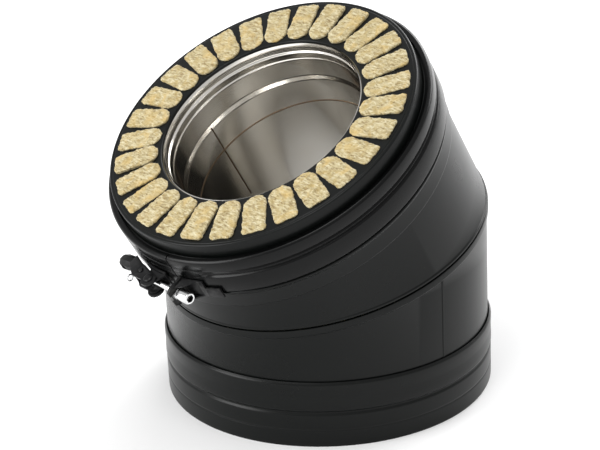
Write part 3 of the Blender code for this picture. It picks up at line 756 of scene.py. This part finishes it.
LUMPS = clouds("lumps", 4.0 * MM)
FUZZ = clouds("fuzz", 1.2 * MM, 3)
tuft = slot_block("tuft", top - 4.2 * MM, top + 0.2 * MM, shrink=0.1 * MM)
bpy.ops.object.mode_set(mode="EDIT")
pick(lambda co: co.z > top - 1 * MM)
for rise, shrink in ((0.5, 1.035), (0.5, 0.985), (0.4, 0.94), (0.2, 0.82), (0.1, 0.6)):
    bpy.ops.mesh.extrude_region_move(TRANSFORM_OT_translate={"value": (0, 0, rise * MM)})
    bpy.ops.transform.resize(value=(shrink, shrink, 1), center_override=(SLOT_MIDDLE, 0, 0))
only(tuft)
modify(tuft, "REMESH", mode="VOXEL", voxel_size=0.6 * MM)
tufts = ring_of(tuft)
for index, tuft in enumerate(tufts):
    tuft.name = f"wool_tuft_{index + 1:02d}"
    height = 0.75 + 0.5 * (noise.noise(Vector((index * 3.7, 1.3, 0.0))) + 0.5)
    only(tuft)
    bpy.ops.object.mode_set(mode="EDIT")
    bpy.ops.mesh.select_all(action="SELECT")
    bpy.ops.transform.resize(value=(1, 1, height), center_override=(0, 0, top - 1.2 * MM))
    only(tuft)
    modify(tuft, "DISPLACE", texture=LUMPS, strength=1.6 * MM, mid_level=0.5)
    modify(tuft, "DISPLACE", texture=FUZZ, strength=1.3 * MM, mid_level=0.5)
    settle(tuft, UPPER, angle=60)
    finish(tuft, WOOL, "elbow", "wool")

# %% [markdown]
# ## The liner
# The liner is a bright tube in two mitred halves. Its socket, at the top, is spun with a
# sealing bead just inside the mouth and steps down to the liner's own bore.

# %% Liner halves and socket
LINER_OUT = LINER + LINER_WALL


def mitred_liner(name, points, side, place):
    """A plain liner tube cut on the mitre; side as for the casing."""
    item = draw(name, points)
    spin()
    slope = side * SLOPE
    level = LEG - 0.15 * MM if side > 0 else 0.15 * MM
    trim((0, 0, level), Vector((-slope, 0, 1)).normalized() * side)
    bpy.ops.mesh.select_all(action="SELECT")
    bpy.ops.mesh.normals_make_consistent(inside=False)
    only(item)
    face_outwards(item)
    modify(item, "SOLIDIFY", thickness=LINER_WALL, offset=-1, use_even_offset=True)
    return settle(item, place)


lower_liner = mitred_liner(
    "liner_lower_half",
    [(LINER_OUT - 0.4 * MM, 3 * MM), (LINER_OUT, 6 * MM), (LINER_OUT, 90 * MM), (LINER_OUT, 175 * MM)],
    1,
    LOWER,
)
finish(lower_liner, STAINLESS, "elbow", "stainless", "lower_liner")
FOOT = top - 59 * MM
upper_liner = mitred_liner(
    "liner_upper_half",
    [(LINER_OUT, -40 * MM), (LINER_OUT, 30 * MM), (LINER_OUT, FOOT - GAP)],
    -1,
    UPPER,
)
finish(upper_liner, STAINLESS, "elbow", "stainless", "upper_liner")

mouth = top - 1.5 * MM
BORE = LINER + 2.2 * MM
socket = turned_shell(
    "liner_mouth",
    [
        (BORE + 1.4 * MM, mouth),
        (BORE + 0.4 * MM, mouth - 2.2 * MM),
        (BORE, mouth - 4.2 * MM),
        (BORE + 1.4 * MM, mouth - 5.6 * MM),
        (BORE + 1.4 * MM, mouth - 7.4 * MM),
        (BORE, mouth - 8.8 * MM),
        (BORE, mouth - 13.4 * MM),
        (BORE - 0.8 * MM, mouth - 14.6 * MM),
        (BORE - 0.5 * MM, mouth - 31.6 * MM),
        (LINER, mouth - 35.2 * MM),
        (LINER, FOOT),
    ],
    UPPER,
    wall=LINER_WALL,
    radius=0.8 * MM,
    bore=True,
)
finish(socket, STAINLESS, "elbow", "stainless", "liner_socket")

# %% [markdown]
# Two welds show in the bore: one along the seam of the rolled sheet, and one round it where
# the socket meets the tube. Both are low rounded beads. A third, along the lower casing, is
# under the enamel.

# %% Weld beads


def bead_along(name, angle, radius, low, high, width, height, place):
    """A straight bead on a wall: a thin bar with its long edges bevelled round."""
    start_clean()
    bpy.ops.mesh.primitive_cube_add(size=1, location=(radius, 0, (low + high) / 2))
    item = bpy.context.object
    item.name = name
    item.scale = (height, width, high - low)
    bpy.ops.object.transform_apply(location=True, rotation=True, scale=True)
    bpy.ops.object.mode_set(mode="EDIT")
    bpy.ops.mesh.select_mode(type="EDGE")
    bpy.ops.mesh.select_all(action="DESELECT")
    shape = bmesh.from_edit_mesh(item.data)
    for edge in shape.edges:
        start, end = (v.co for v in edge.verts)
        edge.select_set(abs(start.z - end.z) > height)
    bmesh.update_edit_mesh(item.data)
    bpy.ops.mesh.bevel(offset=height * 0.45, segments=3, affect="EDGES")
    only(item)
    return settle(item, place @ Matrix.Rotation(angle, 4, "Z"), 60)


LINER_SEAM = math.radians(89)  # round from +X
CASING_SEAM = math.radians(-92)
SUNK = 0.05 * MM  # how far a bead's middle line is from the wall's face
for name, radius, low, high, place in (
    ("liner_seam_weld", LINER - SUNK, 12 * MM, FOOT, UPPER),
    ("mouth_seam_weld", LINER + SUNK, FOOT, top - 35 * MM, UPPER),
    ("foot_seam_weld", LINER - SUNK, 8 * MM, LEG - 6 * MM, LOWER),
):
    weld = bead_along(name, LINER_SEAM, radius, low, high, 1.2 * MM, 0.5 * MM, place)
    finish(weld, WELD, "elbow", "stainless")
seam_top = LEG - 7.4 * MM
casing_weld = bead_along(
    "casing_seam", CASING_SEAM, CASING + SUNK, 52.5 * MM, seam_top, 1.7 * MM, 0.5 * MM, LOWER
)
# The casing weld takes the lighter enamel, a painted highlight.
finish(casing_weld, SEAM_PAINTED_HIGHLIGHT, "elbow", "black_enamel")
start_clean()
bpy.ops.mesh.primitive_torus_add(
    major_radius=LINER + 0.1 * MM, minor_radius=0.7 * MM, major_segments=SIDES, minor_segments=8
)
ring_weld = bpy.context.object
ring_weld.name = "liner_ring_weld"
settle(ring_weld, UPPER @ Matrix.Translation((0, 0, FOOT - 0.15 * MM)))
finish(ring_weld, WELD, "elbow", "stainless")

# %% [markdown]
# ## The locking band
# A strip rolled with two broad ribs and a concave groove between them. It is spun as a full
# ring, the split is cut by two bisections, and near the closure the groove is pushed
# back out level with the ribs, where the real band is left plain for its brackets.

# %% Locking band
BAND_HIGH = top - 10.4 * MM - ROD_HEIGHT
BAND_LOW = BAND_HIGH - 33 * MM
GROOVE = (BAND_HIGH - 10.2 * MM, BAND_HIGH - 16.4 * MM)
MIDDLE = (GROOVE[0] + GROOVE[1]) / 2
FLOOR = BAND_EDGE - 0.5 * MM
band_outline = [
    (RIM + 1.9 * MM, BAND_HIGH - 0.5 * MM),
    (BAND_EDGE - 0.4 * MM, BAND_HIGH),
    (BAND_RIB - 0.1 * MM, BAND_HIGH - 1.5 * MM),
    (BAND_RIB, BAND_HIGH - 5 * MM),
    (BAND_RIB - 0.1 * MM, GROOVE[0]),
    (FLOOR, GROOVE[0] - 1.1 * MM),
    (FLOOR, GROOVE[0] - 1.5 * MM),
    (BAND_EDGE + 0.8 * MM, MIDDLE + 0.5 * MM),
    (BAND_EDGE + 0.8 * MM, MIDDLE - 0.5 * MM),
    (FLOOR, GROOVE[1] + 1.5 * MM),
    (FLOOR, GROOVE[1] + 1.1 * MM),
    (BAND_RIB - 0.1 * MM, GROOVE[1]),
    (BAND_RIB, (GROOVE[1] + BAND_LOW) / 2),
    (BAND_RIB - 0.1 * MM, BAND_LOW + 1.5 * MM),
    (BAND_EDGE - 0.4 * MM, BAND_LOW),
]
band = draw("clamp_band", rounded(band_outline, 0.6 * MM, steps=2))
spin()
SPLIT = (17 * MM, 18 * MM)
for edge_y in SPLIT:
    bpy.ops.mesh.select_all(action="SELECT")
    bpy.ops.mesh.bisect(plane_co=(0, edge_y, 0), plane_no=(0, 1, 0))


def in_split(face):
    middle = face.calc_center_median()
    return middle.x > 0 and SPLIT[0] < middle.y < SPLIT[1]


pick(in_split, "FACE")
bpy.ops.mesh.delete(type="FACE")


def in_plain_groove(co):
    """On the groove's floor, and near enough to the closure for the band to be plain."""
    angle = math.degrees(math.atan2(co.y, co.x))
    return -27 < angle < 21 and GROOVE[1] < co.z < GROOVE[0]


only(band)
for vertex in band.data.vertices:
    if in_plain_groove(vertex.co):
        reach = math.hypot(vertex.co.x, vertex.co.y)
        vertex.co.x *= BAND_RIB / reach
        vertex.co.y *= BAND_RIB / reach
face_outwards(band)
modify(band, "SOLIDIFY", thickness=WALL, offset=-1, use_even_offset=True)
# The band takes the darker enamel copy, a painted shade.
finish(settle(band, CLOSURE), BAND_COAT_PAINTED_SHADE, "band", "black_enamel", "locking_band")

# %% [markdown]
# ## The closure
# The lever, its bracket and the catch are pressed from thick sheet. Their CAD shapes are
# right, so each is copied, its triangles are merged back into flat faces, and its edges are
# bevelled as a press and a coat of paint would leave them.

# %% Pressed hardware


def refined(node, name, width, body, slot, material, segments=2):
    """A copy of a CAD piece with merged faces and softened edges."""
    item = bpy.data.objects.new(name, frame["nodes"][node].data.copy())
    bpy.context.scene.collection.objects.link(item)
    only(item)
    bpy.ops.object.mode_set(mode="EDIT")
    bpy.ops.mesh.select_all(action="SELECT")
    bpy.ops.mesh.remove_doubles(threshold=0.002 * MM)
    bpy.ops.mesh.dissolve_limited(angle_limit=math.radians(1.5))
    only(item)
    sharp = math.radians(32)
    modify(item, "BEVEL", width=width, segments=segments, limit_method="ANGLE", angle_limit=sharp)
    settle(item, Matrix.Identity(4), 40)
    return finish(item, material, body, slot, node)


refined("lever", "lever_arm", 0.4 * MM, "lever", "black_hardware", HARDWARE)
refined("lever_grip", "lever_end", 0.7 * MM, "lever", "grip", GRIP, 3)
refined("lever_bracket", "pivot_bracket", 0.35 * MM, "band", "black_hardware", HARDWARE)
refined("catch_bracket", "fork_bracket", 0.35 * MM, "band", "black_hardware", HARDWARE)

# %% [markdown]
# Pins, rod and nut are turned parts, so they are spun like the shells, about their own axes,
# and then laid in place. The nut's key socket is cut with a six-sided block.

# %% Turned hardware


def turned_bar(name, points, place, sides=48):
    """A solid of turning: the outline starts and ends on the axis."""
    item = draw(name, points)
    spin(sides)
    only(item)
    return settle(item, place, 30)


def along_band(x, y):
    """Place a turned piece with its axis along the band, at a point of the closure."""
    return CLOSURE @ Matrix.Translation((x, y, 0)) @ Matrix.Rotation(-QUARTER_TURN, 4, "X")


def upright(x, y):
    """Place a turned piece with its axis along the upper leg, at a point of the closure."""
    return CLOSURE @ Matrix.Translation((x, y, 0))


LEVER_OUTSIDE = 7.1 * MM
SHOULDER = 5.2 * MM
head = LEVER_OUTSIDE + GAP
for name, node, side in (
    ("pivot_head_top", "upper_pivot_rivet", 1),
    ("pivot_head_foot", "lower_pivot_rivet", -1),
):
    outline = [
        (0, 3.9 * MM), (2.1 * MM, 3.9 * MM), (2.1 * MM, head), (3.6 * MM, head),
        (3.6 * MM, head + 0.4 * MM), (3.1 * MM, head + 0.85 * MM), (2.2 * MM, head + 1.1 * MM),
        (1.0 * MM, head + 1.2 * MM), (0, head + 1.2 * MM),
    ]
    rivet = turned_bar(name, [(r, side * z) for r, z in outline], upright(PIVOT.x, PIVOT.y))
    finish(rivet, HARDWARE, "band", "black_hardware", node)

TRUNNION_Y = -15 * MM
REACH = LEVER_OUTSIDE + 0.7 * MM
trunnion = turned_bar(
    "rod_cross_pin",
    [
        (0, -REACH), (1.5 * MM, -REACH), (1.9 * MM, 0.3 * MM - REACH), (1.9 * MM, -SHOULDER),
        (3.3 * MM, -SHOULDER), (3.6 * MM, 0.3 * MM - SHOULDER), (3.6 * MM, SHOULDER - 0.3 * MM),
        (3.3 * MM, SHOULDER), (1.9 * MM, SHOULDER), (1.9 * MM, REACH - 0.3 * MM),
        (1.5 * MM, REACH), (0, REACH),
    ],
    upright(ROD_X, TRUNNION_Y),
)
finish(trunnion, HARDWARE, "rod", "black_hardware", "rod_trunnion")

ROD_FROM = TRUNNION_Y - 4.6 * MM
ROD_TO = 32.3 * MM
PITCH = 0.7 * MM
CREST = 2.0 * MM
thread = 14 * MM
rod_outline = [(0, ROD_FROM), (1.6 * MM, ROD_FROM), (CREST, ROD_FROM + 0.4 * MM), (CREST, thread)]
while thread < ROD_TO - PITCH:
    rod_outline += [(1.8 * MM, thread + PITCH / 2), (CREST, thread + PITCH)]
    thread += PITCH
rod_outline += [(1.6 * MM, ROD_TO), (0, ROD_TO)]
rod = turned_bar("threaded_rod", rod_outline, along_band(ROD_X, 0))
finish(rod, ZINC, "rod", "zinc", "tie_rod")

washer = turned_bar(
    "rod_washer",
    [
        (2.3 * MM, 25.0 * MM), (4.3 * MM, 25.0 * MM), (4.5 * MM, 25.2 * MM),
        (4.5 * MM, 25.8 * MM), (4.3 * MM, 26.0 * MM), (2.3 * MM, 26.0 * MM), (2.3 * MM, 25.0 * MM),
    ],
    along_band(ROD_X, 0),
)
finish(washer, ZINC, "rod", "zinc", "nut_washer")

NUT_FROM = 26.3 * MM
NUT_TO = NUT_FROM + 11 * MM
nut = turned_bar(
    "clamp_nut",
    [
        (2.3 * MM, NUT_FROM), (4.1 * MM, NUT_FROM), (4.5 * MM, NUT_FROM + 0.4 * MM),
        (4.5 * MM, NUT_TO - 0.8 * MM), (4.3 * MM, NUT_TO - 0.3 * MM), (3.8 * MM, NUT_TO),
        (2.3 * MM, NUT_TO), (2.3 * MM, NUT_FROM),
    ],
    Matrix.Identity(4),
    sides=64,
)
start_clean()
KEY_DEPTH = 4 * MM
KEY_RADIUS = 2.9 * MM
bpy.ops.mesh.primitive_cylinder_add(
    vertices=6, radius=KEY_RADIUS, depth=2 * KEY_DEPTH, location=(0, 0, NUT_TO)
)
key_block = bpy.context.object
modify(nut, "BOOLEAN", object=key_block, operation="DIFFERENCE", solver="EXACT")
bpy.data.objects.remove(key_block)
modify(nut, "BEVEL", width=0.15 * MM, segments=2, limit_method="ANGLE", angle_limit=math.radians(40))
settle(nut, along_band(ROD_X, 0), 30)
finish(nut, ZINC, "nut", "zinc", "barrel_nut")
nut.data.materials.append(HARDWARE)  # painted shade: the key socket's faces take the black hardware finish, for the shade inside the recess
along = along_band(ROD_X, 0).inverted()
for face in nut.data.polygons:
    middle = along @ face.center
    deep_enough = middle.z > NUT_TO - KEY_DEPTH - 0.5 * MM
    if deep_enough and math.hypot(middle.x, middle.y) < KEY_RADIUS - 0.15 * MM:
        face.material_index = 1

CLIP = Vector((PIVOT.x - 1.31 * MM, -26.2 * MM, 0))
RING = 2.4 * MM
WIRE = 0.6 * MM
pin = turned_bar(
    "clip_ring",
    [
        (0, -7.0 * MM), (0.35 * MM, -7.0 * MM), (WIRE, -6.7 * MM), (WIRE, 1.9 * MM),
        (0.35 * MM, 2.2 * MM), (0, 2.3 * MM),
    ],
    upright(CLIP.x, CLIP.y) @ Matrix.Rotation(QUARTER_TURN, 4, "Y"),
    sides=24,
)
start_clean()
bpy.ops.mesh.primitive_torus_add(major_radius=RING, minor_radius=WIRE, major_segments=48, minor_segments=16)
ring = bpy.context.object
settle(ring, upright(CLIP.x + 2.2 * MM + RING, CLIP.y) @ Matrix.Rotation(QUARTER_TURN, 4, "X"))
clip = join_all([pin, ring])
finish(clip, ZINC, "clip", "zinc", "safety_clip")

# %% [markdown]
# ## The studio
# A pale plain floor and four soft lights: one low on the left for the casing's edge, a broad
# one on the right for the bore, one overhead, and one behind for the floor. A world light
# fills the rest. The camera looks down into the bore from the closure's side.

# %% Floor, lights and camera
PALE = (0.92, 0.92, 0.92, 1)
floor_paint = new_material("floor", Roughness=0.9, Specular_IOR_Level=0.1, Base_Color=PALE)[0]
start_clean()
bpy.ops.mesh.primitive_plane_add(size=30, location=(0, 0, 0))
floor = bpy.context.object
floor.name = "floor"
floor.data.materials.append(floor_paint)


def soft_light(name, place, aim, size, power, height=None):
    """A rectangular area light that looks at a point."""
    start_clean()
    bpy.ops.object.light_add(type="AREA", location=place)
    lamp = bpy.context.object
    lamp.name = name
    lamp.data.shape = "RECTANGLE"
    lamp.data.size = size
    lamp.data.size_y = height or size
    lamp.data.energy = power
    direction = Vector(aim) - Vector(place)
    lamp.rotation_euler = direction.to_track_quat("-Z", "Y").to_euler()
    return lamp


AIM = (0, 0, 0.15)
soft_light("left", (-2.2, 0.9, 0.9), AIM, 1.3, 38)
soft_light("right", (2.2, 0.0, 1.5), AIM, 1.9, 50, 1.4)
soft_light("overhead", (-1.1, -0.1, 2.1), AIM, 1.1, 18)
soft_light("background", (2.6, 1.4, 2.2), (0.7, 0.8, 0), 1.6, 30)
world = bpy.data.worlds.new("studio")
world.use_nodes = True
world.node_tree.nodes["Background"].inputs["Color"].default_value = (1, 1, 1, 1)
world.node_tree.nodes["Background"].inputs["Strength"].default_value = 0.68
bpy.context.scene.world = world
bpy.context.scene.view_settings.view_transform = "Standard"

AZIMUTH, ELEVATION, ROLL = (math.radians(a) for a in (-43.95, 22.24, -2.65))
back = Vector((
    math.sin(AZIMUTH) * math.cos(ELEVATION),
    -math.cos(AZIMUTH) * math.cos(ELEVATION),
    math.sin(ELEVATION),
))
level = Vector((math.cos(AZIMUTH), math.sin(AZIMUTH), 0))
upward = back.cross(level)
right = level * math.cos(ROLL) + upward * math.sin(ROLL)
upward = upward * math.cos(ROLL) - level * math.sin(ROLL)
camera_data = bpy.data.cameras.new("camera")
camera_data.lens = 119.27
camera_data.sensor_width = 36
camera = bpy.data.objects.new("camera", camera_data)
bpy.context.scene.collection.objects.link(camera)
camera.matrix_world = Matrix((
    (right.x, upward.x, back.x, -0.97226),
    (right.y, upward.y, back.y, -1.00556),
    (right.z, upward.z, back.z, 0.70301),
    (0, 0, 0, 1),
))
bpy.context.scene.camera = camera
print("Camera", round(math.degrees(ELEVATION), 1), "degrees above the horizon")
